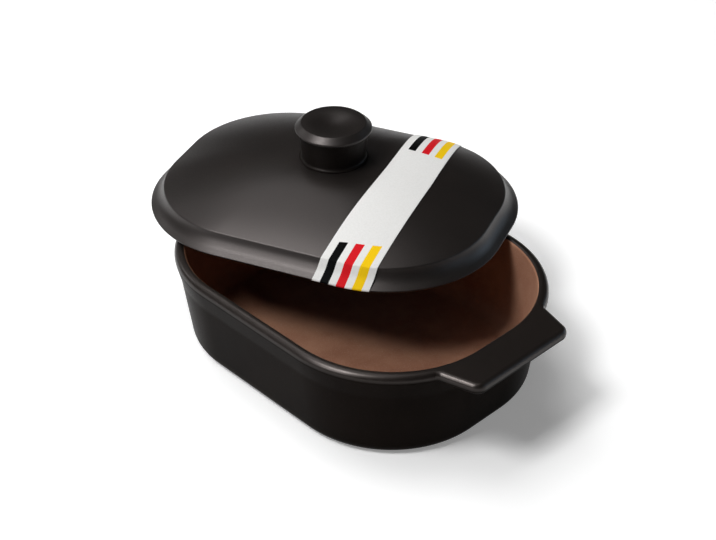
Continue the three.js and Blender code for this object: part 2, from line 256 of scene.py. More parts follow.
@dataclass(frozen=True)
class Outline:
    """The rounded-rectangle plan that the dish's rim and the lid's edge share, in millimetres."""

    length: float = 300.0
    width: float = 228.0
    end_straight: float = 34.0
    corner_steps: int = 30
    straight_cuts: int = 11

    @property
    def radius(self) -> float:
        """Radius of the corners."""
        return (self.width - self.end_straight) / 2

    @property
    def end_centre(self) -> float:
        """Distance from the middle to the corner centres along the length."""
        return self.length / 2 - self.radius

    @property
    def side_centre(self) -> float:
        """Distance from the middle to the corner centres across the width."""
        return self.end_straight / 2

    def inset_of(self, x: float, y: float) -> float:
        """Measures how far a point of the plan lies inside the outline.

        Args:
            x: the point's place along the length.
            y: its place across the width.

        Returns:
            The distance, less than 0 outside.
        """
        past_x = max(abs(x) - self.end_centre, 0.0)
        past_y = max(abs(y) - self.side_centre, 0.0)
        return self.radius - math.hypot(past_x, past_y)

    def half_width(self, x: float, inset: float) -> float:
        """Half the width of the plan, drawn in by an inset, at a place along its length."""
        past = max(abs(x) - self.end_centre, 0.0)
        return self.side_centre + math.sqrt((self.radius - inset) ** 2 - past**2)

    def reach(self, x: float, y: float, inset: float) -> float:
        """Measures from the middle to the drawn-in outline in the direction of a point.

        Args:
            x: the point's place along the length.
            y: its place across the width.
            inset: how far the outline is drawn in.

        Returns:
            The distance.
        """
        length = math.hypot(x, y)
        along_x, along_y = abs(x) / length, abs(y) / length
        radius = self.radius - inset
        along = along_x * self.end_centre + along_y * self.side_centre
        spare = radius**2 - self.end_centre**2 - self.side_centre**2
        corner = along + math.sqrt(along**2 + spare)
        if corner * along_x < self.end_centre:
            return (self.side_centre + radius) / along_y
        if corner * along_y < self.side_centre:
            return (self.end_centre + radius) / along_x
        return corner

    def plate(self, name: str, start: Station, facing: Facing) -> Piece:
        """Cuts a flat plate to the outline and leaves it in edit mode with its face selected.

        Args:
            name: the new object's name.
            start: the plate's inset and height.
            facing: the way its face points.

        Returns:
            The plate.
        """
        inset, height = start
        bpy.ops.object.select_all(action="DESELECT")
        bpy.ops.mesh.primitive_plane_add(size=1.0)
        piece = bpy.context.object
        piece.name = name
        edit()
        size = ((self.length - 2 * inset) * MM, (self.width - 2 * inset) * MM, 1.0)
        bpy.ops.transform.resize(value=size)
        bpy.ops.transform.translate(value=(0.0, 0.0, height * MM))
        bpy.ops.mesh.bevel(
            offset=(self.radius - inset) * MM,
            segments=self.corner_steps,
            profile=ROUND_PROFILE,
            affect="VERTICES",
            clamp_overlap=False,
        )
        bpy.ops.mesh.select_all(action="DESELECT")
        long_edge = self.side_centre * MM
        shape = bmesh.from_edit_mesh(piece.data)
        for edge in shape.edges:
            edge.select_set(edge.calc_length() > long_edge)
        bmesh.update_edit_mesh(piece.data)
        bpy.ops.mesh.subdivide(number_cuts=self.straight_cuts)
        bpy.ops.mesh.select_all(action="SELECT")
        if facing is Facing.DOWN:
            bpy.ops.mesh.flip_normals()
        return piece


@dataclass(frozen=True)
class Grain:
    """A noise pattern: features per metre, octaves of finer noise and their weight."""

    scale: float
    detail: float = 3.0
    weight: float = 0.5


@dataclass(frozen=True)
class Relief:
    """How strongly a pattern raises the surface, and its depth in millimetres."""

    strength: float
    depth: float


class ShaderGraph:
    """One material's nodes, added with few words."""

    def __init__(self, name: str) -> None:
        """Starts a material with a principled shader.

        Args:
            name: the material's name.
        """
        self.material = bpy.data.materials.new(name)
        self.material.use_nodes = True
        self.nodes = self.material.node_tree.nodes
        self.links = self.material.node_tree.links
        self.shader = self.nodes["Principled BSDF"]
        self.coordinates = self.nodes.new("ShaderNodeTexCoord")

    def axis(self, space: Space, axis: str) -> Socket:
        """Reads one axis of the surface's coordinates.

        Args:
            space: the coordinates.
            axis: X, Y or Z.

        Returns:
            The place along the axis.
        """
        split = self.nodes.new("ShaderNodeSeparateXYZ")
        self.links.new(self.coordinates.outputs[space.value], split.inputs["Vector"])
        return split.outputs[axis]

    def noise(self, grain: Grain) -> Socket:
        """Adds a noise pattern on the object's own coordinates.

        Args:
            grain: the pattern.

        Returns:
            The pattern's value.
        """
        node = self.nodes.new("ShaderNodeTexNoise")
        node.inputs["Scale"].default_value = grain.scale
        node.inputs["Detail"].default_value = grain.detail
        node.inputs["Roughness"].default_value = grain.weight
        self.links.new(self.coordinates.outputs[Space.PIECE.value], node.inputs["Vector"])
        return node.outputs["Fac"]

    def span(self, value: Socket, source: Station, target: Station) -> Socket:
        """Maps a value from one range to another.

        Args:
            value: the value that is mapped.
            source: low and high end of what comes in.
            target: low and high end of what comes out.

        Returns:
            The mapped value.
        """
        node = self.nodes.new("ShaderNodeMapRange")
        for name, limit in zip(("From Min", "From Max", "To Min", "To Max"), source + target):
            node.inputs[name].default_value = limit
        self.links.new(value, node.inputs["Value"])
        return node.outputs["Result"]

    def maths(self, step: Arithmetic, *values: Socket | float) -> Socket:
        """Adds one step of arithmetic.

        Args:
            step: what is done with the values.
            *values: sockets or plain numbers, in order.

        Returns:
            The result.
        """
        node = self.nodes.new("ShaderNodeMath")
        node.operation = step.value
        for socket, value in zip(node.inputs, values):
            self._feed(socket, value)
        return node.outputs["Value"]

    def mix(self, share: Socket, first: Socket | Colour, second: Socket | Colour) -> Socket:
        """Mixes two colours.

        Args:
            share: how much of the second colour shows.
            first: the colour at 0.
            second: the colour at 1.

        Returns:
            The mixed colour.
        """
        node = self.nodes.new("ShaderNodeMix")
        node.data_type = "RGBA"
        self.links.new(share, node.inputs["Factor"])
        for index, colour in ((6, first), (7, second)):
            self._feed(node.inputs[index], colour if isinstance(colour, Socket) else (*colour, 1.0))
        return node.outputs[2]

    def bump(self, height: Socket, relief: Relief) -> None:
        """Raises the surface by a pattern, on top of any bump already there.

        Args:
            height: the pattern.
            relief: how strongly and how deep it shows.
        """
        node = self.nodes.new("ShaderNodeBump")
        node.inputs["Strength"].default_value = relief.strength
        node.inputs["Distance"].default_value = relief.depth * MM
        self.links.new(height, node.inputs["Height"])
        normal = self.shader.inputs["Normal"]
        if normal.is_linked:
            self.links.new(normal.links[0].from_socket, node.inputs["Normal"])
        self.links.new(node.outputs["Normal"], normal)

    def set(self, name: str, value: Socket | float | tuple[float, ...]) -> None:
        """Sets or links the named input of the shader."""
        self._feed(self.shader.inputs[name], value)

    def _feed(self, socket: Socket, value: Socket | float | tuple[float, ...]) -> None:
        """Sets or links one input of a node.

        Args:
            socket: the input.
            value: a socket to link, or a constant.
        """
        if isinstance(value, Socket):
            self.links.new(value, socket)
        else:
            socket.default_value = value


@dataclass(frozen=True)
class Clay:
    """Clay with soft mottling, sandy specks, shallow pits and a fine grain."""

    name: str
    ground: Colour
    mottle: Colour
    grit: Colour
    roughness: Station
    specular: float
    clouds: Grain
    grain: Grain
    specks: Grain
    speck_span: Station
    speck_share: float
    pits: Grain
    pit_relief: Relief
    grain_relief: Relief

    def body(self) -> ShaderGraph:
        """Builds what all clays have in common.

        Returns:
            The graph, for a finish that adds to it.
        """
        graph = ShaderGraph(self.name)
        grain = graph.noise(self.grain)
        clouds = graph.span(graph.noise(self.clouds), CLOUD_SPAN, WHOLE)
        specks = graph.span(graph.noise(self.specks), self.speck_span, (0.0, self.speck_share))
        mottled = graph.mix(clouds, self.ground, self.mottle)
        graph.set("Base Color", graph.mix(specks, mottled, self.grit))
        graph.set("Roughness", graph.span(grain, GRAIN_SPAN, self.roughness))
        graph.set("Specular IOR Level", self.specular)
        graph.bump(graph.noise(self.pits), self.pit_relief)
        graph.bump(grain, self.grain_relief)
        return graph


@dataclass(frozen=True)
class FiredClay(Clay):
    """Matte black-brown fired clay with a dull sheen, which may fade out below a height in metres."""

    ground: Colour = (0.0058, 0.0044, 0.0037)
    mottle: Colour = (0.0088, 0.0066, 0.0055)
    grit: Colour = (0.024, 0.020, 0.018)
    roughness: Station = (0.37, 0.47)
    specular: float = 0.60
    clouds: Grain = Grain(16.0, 4.0, 0.55)
    grain: Grain = Grain(900.0, 3.0, 0.6)
    specks: Grain = Grain(1500.0, 1.0)
    speck_span: Station = (0.66, 0.74)
    speck_share: float = 0.55
    pits: Grain = Grain(260.0, 2.0)
    pit_relief: Relief = Relief(0.10, 0.15)
    grain_relief: Relief = Relief(0.16, 0.08)
    sheen_tint: Colour = (1.0, 0.91, 0.89)
    dull_below: Station | None = None
    dull_specular: float = 0.02

    def material(self) -> bpy.types.Material:
        """Builds the finish.

        Returns:
            The material.
        """
        graph = self.body()
        graph.set("Specular Tint", (*self.sheen_tint, 1.0))
        if self.dull_below:
            height = graph.axis(Space.PIECE, "Z")
            sheen = graph.span(height, self.dull_below, (self.dull_specular, self.specular))
            graph.set("Specular IOR Level", sheen)
        return graph.material


@dataclass(frozen=True)
class BareClay(Clay):
    """Unglazed red-brown clay with fine sandy grain."""

    ground: Colour = (0.365, 0.185, 0.114)
    mottle: Colour = (0.262, 0.120, 0.071)
    grit: Colour = (0.42, 0.27, 0.20)
    roughness: Station = (0.78, 0.92)
    specular: float = 0.25
    clouds: Grain = Grain(22.0, 5.0, 0.6)
    grain: Grain = Grain(1100.0, 3.0, 0.6)
    specks: Grain = Grain(1700.0, 1.0)
    speck_span: Station = (0.62, 0.74)
    speck_share: float = 0.7
    pits: Grain = Grain(320.0, 3.0)
    pit_relief: Relief = Relief(0.15, 0.2)
    grain_relief: Relief = Relief(0.25, 0.12)

    def material(self) -> bpy.types.Material:
        """Builds the finish."""
        return self.body().material


@dataclass(frozen=True)
class Stripe:
    """A printed stripe along the band: its middle and half-width as shares of the band's width."""

    middle: float
    half: float
    ink: Colour


@dataclass(frozen=True)
class StripedPaper:
    """Smooth white paper with plain stripes at both ends, whose ends are given as shares of its length."""

    name: str
    front_end: float
    back_end: float
    skew: float
    paper: Colour = (0.86, 0.855, 0.84)
    shade: Colour = (0.80, 0.795, 0.775)
    roughness: Station = (0.52, 0.64)
    specular: float = 0.03
    fibres: Grain = Grain(700.0, 4.0, 0.65)
    shade_span: Station = (0.35, 0.75)
    relief: Relief = Relief(0.08, 0.05)
    stripes: tuple[Stripe, ...] = (
        Stripe(0.225, 0.0775, (0.0020, 0.0020, 0.0022)),
        Stripe(0.515, 0.0775, (0.70, 0.012, 0.019)),
        Stripe(0.800, 0.0800, (0.97, 0.62, 0.008)),
    )

    def material(self) -> bpy.types.Material:
        """Builds the finish.

        Returns:
            The material.
        """
        graph = ShaderGraph(self.name)
        fibres = graph.noise(self.fibres)
        colour = graph.mix(graph.span(fibres, self.shade_span, WHOLE), self.paper, self.shade)
        across, along = graph.axis(Space.SHEET, "X"), graph.axis(Space.SHEET, "Y")
        level = graph.maths(Arithmetic.PRODUCT_PLUS, across, -self.skew, along)
        drop = self.stripes[-1].middle * self.skew
        front = graph.maths(Arithmetic.BELOW, level, self.front_end - drop)
        back = graph.maths(Arithmetic.ABOVE, level, self.back_end - drop)
        ends = graph.maths(Arithmetic.LARGER, front, back)
        for stripe in self.stripes:
            inside = graph.maths(Arithmetic.NEAR, across, stripe.middle, stripe.half)
            colour = graph.mix(graph.maths(Arithmetic.PRODUCT, inside, ends), colour, stripe.ink)
        graph.set("Base Color", colour)
        graph.set("Roughness", graph.span(fibres, GRAIN_SPAN, self.roughness))
        graph.set("Specular IOR Level", self.specular)
        graph.bump(fibres, self.relief)
        return graph.material


@dataclass
class BakingDish:
    """The oblong dish with a flat handle at each end, in millimetres."""

    outline: Outline = field(default_factory=Outline)
    height: float = 81.5
    rim_width: float = 8.5
    rim_inner_round: float = 3.0
    rim_outer_round: float = 5.0
    lip_height: float = 6.5
    lip_proud: float = 3.6
    lip_round: float = 7.0
    lip_sweep: float = 15.0
    lip_foot_round: float = 40.0
    wall_lean: float = 7.4
    wall_thickness: float = 8.0
    floor_thickness: float = 9.0
    floor_run: float = 42.0
    inner_floor_round: float = 14.0
    foot_round: float = 10.0
    handle_reach: float = 22.2
    handle_root: float = 120.8
    handle_tip: float = 98.0
    handle_thickness: float = 9.2
    handle_drop: float = 0.02
    handle_corner: float = 9.0
    handle_edge_round: float = 4.0
    handle_edge_steps: int = 6
    handle_bite: float = 6.5
    bite_margin: float = 0.2
    handle_blend: float = 5.0
    blend_steps: int = 10
    root_steps: int = 14
    dull_depths: Station = (6.0, 2.0)
    bare_drop: float = 0.75
    bare_floor_margin: float = 0.1
    bare_wall_margin: float = 1.0

    @property
    def foot_inset(self) -> float:
        """Inset of the wall's foot from the rim's outline."""
        return self.lip_proud + self.wall_lean

    @property
    def floor_inset(self) -> float:
        """Inset of the inside wall where it meets the floor."""
        return self.foot_inset + self.wall_thickness

    def build(self) -> Piece:
        """Makes the dish, shell and handles in one.

        Returns:
            The finished piece.
        """
        piece = self._shell()
        for side in (1, -1):
            handle = self._handle(side)
            apply_tool(piece, Tool.UNION, operation="UNION", solver="EXACT", object=handle)
            bpy.data.objects.remove(handle)
        self._paint(piece)
        smooth(piece)
        put(piece, Body.DISH, "baking_dish")
        return piece

    def _shell(self) -> Piece:
        """Draws the inside and the outside from the lip's widest line and joins them.

        Returns:
            The dish without its handles.
        """
        middle = self.floor_inset + self.floor_run
        widest = self.height - self.rim_outer_round
        lip_foot = self.height - self.lip_height
        inside = rounded([
            Corner(0.0, widest - self.rim_outer_round),
            Corner(0.0, self.height, self.rim_outer_round, 10),
            Corner(self.rim_width, self.height, self.rim_inner_round, 8),
            Corner(self.floor_inset, self.floor_thickness, self.inner_floor_round, 14),
            Corner(middle, self.floor_thickness),
        ])[1:]
        outside = rounded([
            Corner(0.0, widest),
            Corner(0.0, lip_foot, self.lip_round, 8),
            Corner(self.lip_proud, lip_foot - self.lip_sweep, self.lip_foot_round, 10),
            Corner(self.foot_inset, 0.0, self.foot_round, 14),
            Corner(middle, 0.0),
        ])
        upper = self.outline.plate("baking_dish_clay", inside[0], Facing.UP)
        draw_in(inside, Facing.UP)
        leave()
        lower = self.outline.plate("dish_underside", outside[0], Facing.DOWN)
        draw_in(outside, Facing.DOWN)
        leave()
        return join_shells(upper, lower)

    def _side_line(self) -> list[Station]:
        """Draws half of a handle's plan, from the middle of its root out to the middle of its tip.

        Returns:
            The points: along the root inside the wall, through the blend with the rim, along the
            side and round the tip's corner.
        """
        radius = self.outline.radius
        centre = Vector((self.outline.end_centre, self.outline.side_centre))
        tip = Vector((self.outline.length / 2 + self.handle_reach, self.handle_tip / 2))
        rise = self.handle_root / 2 - centre.y
        start = centre + Vector((math.sqrt((radius - self.handle_bite) ** 2 - rise**2), rise))
        along = (tip - start).normalized()
        outward = Vector((-along.y, along.x))
        arm = start + outward * self.handle_blend - centre
        reach = arm.dot(along)
        spare = arm.length_squared - (radius + self.handle_blend) ** 2
        hub = centre + arm + along * (math.sqrt(reach**2 - spare) - reach)
        first = (centre - hub).normalized() * self.handle_blend
        blend = swing(hub, first, -first.angle_signed(-outward), self.blend_steps)
        inner = Vector((radius - self.handle_bite, 0.0))
        span = (hub - centre).angle_signed(Vector((1.0, 0.0)))
        root = swing(centre, inner, span, self.root_steps)
        corner = rounded([
            Corner(blend[-1].x, blend[-1].y),
            Corner(tip.x, tip.y, self.handle_corner, 10),
            Corner(tip.x, 0.0),
        ])
        return [(point.x, point.y) for point in root + blend] + corner[1:-1]

    def _handle(self, side: int) -> Piece:
        """Makes one flat handle whose root reaches into the wall.

        Args:
            side: 1 for the end at +X, -1 for the other.

        Returns:
            The handle as a closed solid.
        """
        half = self._side_line()
        plan = half + [(x, -y) for x, y in reversed(half)]
        top = (self.height - self.handle_drop) * MM
        mesh = bpy.data.meshes.new("handle")
        mesh.from_pydata([(side * x * MM, y * MM, top) for x, y in plan], [], [list(range(len(plan)))])
        piece = bpy.data.objects.new("handle", mesh)
        bpy.context.scene.collection.objects.link(piece)
        only(piece)
        bpy.ops.object.mode_set(mode="EDIT")
        bpy.ops.mesh.select_mode(type="EDGE")
        bpy.ops.mesh.select_all(action="SELECT")
        extrude(-self.handle_thickness)
        bpy.ops.mesh.select_all(action="SELECT")
        bpy.ops.mesh.normals_make_consistent(inside=False)
        bpy.ops.mesh.select_all(action="DESELECT")
        shape = bmesh.from_edit_mesh(mesh)
        for edge in shape.edges:
            ends = [vertex.co for vertex in edge.verts]
            level = abs(ends[0].z - ends[1].z) < LEVEL_TOLERANCE
            depth = min(self.outline.inset_of(co.x / MM, co.y / MM) for co in ends)
            edge.select_set(level and depth < self.handle_bite - self.bite_margin)
        bmesh.update_edit_mesh(mesh)
        bpy.ops.mesh.bevel(
            offset=self.handle_edge_round * MM,
            segments=self.handle_edge_steps,
            profile=ROUND_PROFILE,
            affect="EDGES",
            clamp_overlap=False,
        )
        leave()
        return piece

    def _paint(self, piece: Piece) -> None:
        """Gives the inside bare clay and everything else the dark finish.

        Args:
            piece: the dish.
        """
        dull_from, dull_to = self.dull_depths
        outside = FiredClay(
            "dish_black_clay",
            ground=(0.0060, 0.0042, 0.0033),
            mottle=(0.0090, 0.0063, 0.0050),
            roughness=(0.30, 0.39),
            sheen_tint=(1.0, 0.89, 0.85),
            dull_below=((self.height - dull_from) * MM, (self.height - dull_to) * MM),
            dull_specular=0.013,
        )
        piece.data.materials.clear()
        piece.data.materials.append(outside.material())
        piece.data.materials.append(BareClay("dish_bare_clay").material())
        lowest = self.floor_thickness - self.bare_floor_margin
        highest = self.height - self.bare_drop
        for face in piece.data.polygons:
            place = face.center / MM
            share = (place.z - self.floor_thickness) / (self.height - self.floor_thickness)
            wall = self.floor_inset + (self.rim_width - self.floor_inset) * share
            inset = self.outline.inset_of(place.x, place.y)
            inner = inset > wall - self.bare_wall_margin and lowest < place.z < highest
            face.material_index = int(inner)


@dataclass
class BakerLid:
    """The domed lid and how it lies on the dish, in millimetres and degrees."""

    outline: Outline = field(default_factory=Outline)
    set_in: float = 1.8
    edge_height: float = 1.4
    edge_round: float = 0.798
    flange_width: float = 8.80
    flange_slope: float = 34.0
    cove_radius: float = 18.0
    step_height: float = 7.664
    step_slope: float = 74.0
    crease_round: float = 2.0
    crown_edge_slope: float = 26.0
    crown_edge_run: float = 8.0
    crown_rise: float = 26.7
    crown_fullness: float = 1.72
    crown_steps: int = 26
    thickness: float = 9.0
    ring_depth: float = 4.0
    ring_inset: float = 8.7
    ring_width: float = 4.5
    ring_round: float = 1.2
    hollow_set_back: float = 3.0
    seat_radius: float = 29.0
    turn: float = 22.9
    shift: Station = (-71.2, 41.7)
    level: float = 85.8

    @property
    def cove_height(self) -> float:
        """Height of the cove at the foot of the step."""
        return self.edge_height + self.flange_width * math.tan(math.radians(self.flange_slope))

    @property
    def crease_height(self) -> float:
        """Height of the crease round the crown."""
        return self.cove_height + self.step_height

    @property
    def crease_inset(self) -> float:
        """Inset of the crease from the lid's widest line."""
        return self.flange_width + self.step_height / math.tan(math.radians(self.step_slope))

    @property
    def crown_height(self) -> float:
        """Height of the crown's middle."""
        return self.crease_height + self.crown_rise

    @property
    def crown_edge(self) -> Corner:
        """A corner past the crease, which gives the slope of the crown's edge."""
        lift = self.crown_edge_run * math.tan(math.radians(self.crown_edge_slope))
        return Corner(self.crease_inset + self.crown_edge_run, self.crease_height + lift)

    def edge_profile(self) -> list[Station]:
        """Draws the outside from the lid's widest line up to the crown's edge.

        Returns:
            The insets and heights.
        """
        return rounded([
            Corner(0.0, self.edge_round),
            Corner(0.0, self.edge_height, self.edge_round, 6),
            Corner(self.flange_width, self.cove_height, self.cove_radius, 12),
            Corner(self.crease_inset, self.crease_height, self.crease_round, 8),
            self.crown_edge,
        ])[:-1]

    def crown_share(self, share: float) -> float:
        """How far the crown has risen, from 0 at its edge to 1 at the knob's seat."""
        return 1 - (1 - share) ** self.crown_fullness

    def height_at(self, x: float, y: float) -> float:
        """Measures the height of the crown over a point of the lid's plan.

        Args:
            x: the point's place along the lid.
            y: its place across the lid.

        Returns:
            The height.
        """
        inset, low = self.edge_profile()[-1]
        edge = self.outline.reach(x, y, self.set_in + inset)
        share = (edge - math.hypot(x, y)) / (edge - self.seat_radius)
        return low + (self.crown_height - low) * self.crown_share(min(max(share, 0.0), 1.0))

    def place(self, piece: Piece) -> None:
        """Turns and moves a piece that was made over the middle of the lid to where the lid lies.

        Args:
            piece: the lid or a piece on it.
        """
        only(piece)
        piece.rotation_euler.z = math.radians(self.turn)
        piece.location = (self.shift[0] * MM, self.shift[1] * MM, self.level * MM)
        bpy.ops.object.transform_apply(location=True, rotation=True, scale=True)

    def build(self) -> Piece:
        """Makes the lid.

        Returns:
            The finished piece.
        """
        upper = self._shell("lid_clay", self.edge_profile(), Facing.UP, self.crown_height)
        hollow_height = self.crown_height - self.thickness
        lower = self._shell("lid_underside", self._under_profile(), Facing.DOWN, hollow_height)
        piece = join_shells(upper, lower)
        piece.data.materials.clear()
        piece.data.materials.append(FiredClay("lid_black_clay").material())
        self.place(piece)
        smooth(piece)
        put(piece, Body.COVER, "lid")
        return piece

    def _shell(self, name: str, profile: list[Station], facing: Facing, high: float) -> Piece:
        """Draws one side of the lid from its widest line to the middle of its crown.

        Args:
            name: the new object's name.
            profile: insets and heights from the widest line to where the crown starts.
            facing: the way the side faces.
            high: height of the crown's middle.

        Returns:
            The open shell.
        """
        stations = [(inset + self.set_in, height) for inset, height in profile]
        piece = self.outline.plate(name, stations[0], facing)
        draw_in(stations, facing)
        self._raise_crown(piece, stations[-1][1], high)
        leave()
        return piece

    def _under_profile(self) -> list[Station]:
        """Draws the underside from the widest line over the ring to the hollow.

        Returns:
            The insets and heights.
        """
        ring_inner = self.ring_inset + self.ring_width
        hollow = self.crease_height - self.thickness
        return rounded([
            Corner(0.0, self.edge_round),
            Corner(0.0, 0.0, self.edge_round, 6),
            Corner(self.ring_inset, 0.0),
            Corner(self.ring_inset, -self.ring_depth, self.ring_round, 5),
            Corner(ring_inner, -self.ring_depth, self.ring_round, 5),
            Corner(ring_inner, hollow - self.hollow_set_back),
            Corner(ring_inner + self.hollow_set_back, hollow),
        ])

    def _raise_crown(self, piece: Piece, low: float, high: float) -> None:
        """Raises the selected face step by step into a dome that ends in the knob's round seat.

        Args:
            piece: the lid's shell, in edit mode.
            low: height of the face now.
            high: height of the seat.
        """
        last_share, last_height = 0.0, low
        seat = self.seat_radius * MM
        for step in range(1, self.crown_steps + 1):
            share = step / self.crown_steps
            height = low + (high - low) * self.crown_share(share)
            shape = bmesh.from_edit_mesh(piece.data)
            ring = [vertex.co for vertex in shape.verts if vertex.select]
            mean = sum(math.hypot(co.x, co.y) for co in ring) / len(ring)
            keep = (1 - share) / (1 - last_share)
            grow = seat * (share - keep * last_share) / mean
            extrude(height - last_height)
            bpy.ops.transform.tosphere(value=grow / (keep + grow))
            bpy.ops.transform.resize(value=(keep + grow, keep + grow, 1.0))
            last_share, last_height = share, height


@dataclass
class LidKnob:
    """The round knob with a bevelled ring and a dished top, in millimetres."""

    lid: BakerLid
    base_radius: float = 25.5
    foot_spread: float = 2.5
    foot_edge: float = 0.5
    foot_round: float = 2.25
    side_flare: float = 2.7
    side_height: float = 24.0
    side_round: float = 1.0
    ledge_width: float = 2.7
    ledge_height: float = 1.4
    edge_depth: float = 1.6
    edge_round: float = 0.9
    bevel_width: float = 4.9
    bevel_height: float = 4.3
    ring_width: float = 3.0
    ring_round: float = 1.4
    dish_depth: float = 3.6
    dish_steps: int = 16
    seat_gap: float = 0.3
    sides: int = 112
    dull_heights: Station = (22.7, 25.7)
    dull_specular: float = 0.12

    def profile(self) -> list[Station]:
        """Draws the knob from its foot up over the ring and into the dished top.

        Returns:
            The radii and heights.
        """
        foot = self.base_radius + self.foot_spread
        side = self.base_radius + self.side_flare
        edge = side + self.ledge_width
        low = self.side_height + self.ledge_height
        high = low + self.edge_depth
        inner, top = edge - self.bevel_width, high + self.bevel_height
        dish = inner - self.ring_width
        stations = rounded([
            Corner(foot, 0.0),
            Corner(foot, self.foot_edge),
            Corner(self.base_radius, self.foot_edge, self.foot_round, 8),
            Corner(side, self.side_height, self.side_round, 4),
            Corner(edge, low, self.edge_round, 4),
            Corner(edge, high, self.edge_round, 6),
            Corner(inner, top, self.ring_round, 6),
            Corner(dish, top),
        ])
        for step in range(1, self.dish_steps):
            share = 1 - step / self.dish_steps
            depth = self.dish_depth * (1 + math.cos(math.pi * share)) / 2
            stations.append((dish * share, top - depth))
        return stations

    def build(self) -> Piece:
        """Makes the knob.

        Returns:
            The finished piece.
        """
        stations = self.profile()
        seat = self.lid.crown_height + self.seat_gap
        bpy.ops.object.select_all(action="DESELECT")
        bpy.ops.mesh.primitive_circle_add(
            vertices=self.sides, radius=stations[0][0] * MM, fill_type="NGON"
        )
        piece = bpy.context.object
        piece.name = "lid_knob_clay"
        edit()
        for (radius, height), (next_radius, next_height) in zip(stations, stations[1:]):
            extrude(next_height - height)
            grow = next_radius / radius
            bpy.ops.transform.resize(value=(grow, grow, 1.0))
        bpy.ops.mesh.select_all(action="SELECT")
        bpy.ops.mesh.normals_make_consistent(inside=False)
        bpy.ops.transform.translate(value=(0.0, 0.0, seat * MM))
        leave()
        low, high = ((self.lid.level + seat + height) * MM for height in self.dull_heights)
        clay = FiredClay("knob_black_clay", dull_below=(low, high), dull_specular=self.dull_specular)
        piece.data.materials.append(clay.material())
        self.lid.place(piece)
        smooth(piece)
        put(piece, Body.COVER, "lid_knob")
        return piece


@dataclass
class PaperBand:
    """The paper band laid over the lid, in millimetres and degrees."""

    lid: BakerLid
    width: float = 38.6
    flare: float = 4.6
    taper: float = 2.3
    thickness: float = 0.4
    middle: float = 64.7
    bow: float = 12.4
    slant: float = 0.9
    sag: float = 0.35
    sag_radius: float = 20.0
    gap: float = 0.3
    columns: int = 30
    crown_rows: int = 90
    edge_tries: int = 12
    front_stripe: float = -83.0
    back_stripe: float = 41.0
    stripe_skew: float = 3.0
    sharp_angle: float = 40.0

    def _x(self, across: float, y: float) -> float:
        """Finds where a point of the band lies along the lid.

        Args:
            across: place across the band, from -1 to 1.
            y: place across the lid.

        Returns:
            The place along the lid.
        """
        along = 2 * y / self.lid.outline.width
        middle = self.middle - self.bow * along**2 - self.slant * along
        width = self.width + self.flare * along**2 - self.taper * along
        return middle + across * width / 2

    def edge_profile(self) -> list[Station]:
        """Draws the paper past the crease, where it spans the cove and sags a little into it.

        Returns:
            The insets and heights.
        """
        lid = self.lid
        cove = Vector((lid.flange_width, lid.cove_height))
        span = Vector((lid.crease_inset / 2, (lid.crease_height + lid.edge_height) / 2))
        low = span.lerp(cove, self.sag)
        return rounded([
            Corner(0.0, lid.edge_round),
            Corner(0.0, lid.edge_height, lid.edge_round, 5),
            Corner(low.x, low.y, self.sag_radius, 10),
            Corner(lid.crease_inset, lid.crease_height, lid.crease_round, 6),
            lid.crown_edge,
        ])[:-1]

    def _edge_point(self, across: float, side: int, station: Station) -> Vector:
        """Finds where the band crosses one ring of the lid's edge.

        Args:
            across: place across the band, from -1 to 1.
            side: -1 at the front, 1 at the back.
            station: the ring's inset and height.

        Returns:
            The point in the lid's own frame.
        """
        inset, height = station
        y = side * self.lid.outline.width / 2
        for _ in range(self.edge_tries):
            y = side * self.lid.outline.half_width(self._x(across, y), self.lid.set_in + inset)
        return Vector((self._x(across, y), y, height))

    def _strip(self, across: float) -> list[Vector]:
        """Lays one lengthwise line of the band on the lid.

        Args:
            across: place across the band, from -1 to 1.

        Returns:
            The points from front to back.
        """
        edge = self.edge_profile()
        front = [self._edge_point(across, -1, station) for station in edge]
        back = [self._edge_point(across, 1, station) for station in reversed(edge)]
        over = []
        for step in range(1, self.crown_rows):
            y = front[-1].y + (back[0].y - front[-1].y) * step / self.crown_rows
            x = self._x(across, y)
            over.append(Vector((x, y, self.lid.height_at(x, y))))
        return front + over + back

    def build(self) -> Piece:
        """Makes the band.

        Returns:
            The finished piece.
        """
        strips = [self._strip(2 * column / self.columns - 1) for column in range(self.columns + 1)]
        last = len(strips[0]) - 1
        bpy.ops.object.select_all(action="DESELECT")
        bpy.ops.mesh.primitive_grid_add(
            x_subdivisions=self.columns, y_subdivisions=last, size=1.0, calc_uvs=True
        )
        piece = bpy.context.object
        piece.name = "paper_band_sheet"
        for vertex in piece.data.vertices:
            column = round((vertex.co.x + 0.5) * self.columns)
            row = round((vertex.co.y + 0.5) * last)
            vertex.co = strips[column][row] * MM
        piece.data.update()
        edit()
        bpy.ops.transform.shrink_fatten(value=self.gap * MM)
        leave()
        apply_tool(piece, Tool.THICKNESS, thickness=self.thickness * MM, offset=1.0)
        middle = strips[self.columns // 2]
        front, back = (
            sum(point.y < end for point in middle) / last for end in (self.front_stripe, self.back_stripe)
        )
        paper = StripedPaper("striped_paper", front, back, self.stripe_skew / last)
        piece.data.materials.append(paper.material())
        self.lid.place(piece)
        smooth(piece, self.sharp_angle)
        put(piece, Body.COVER, "paper_band")
        return piece


@dataclass(frozen=True)
class SoftLight:
    """One soft lamp: its place, size, power and colour, and whether it lights surfaces and shines in them."""

    name: str
    place: Place
    size: Station
    power: float
    colour: Colour = WHITE
    lights: bool = True
    shines: bool = True


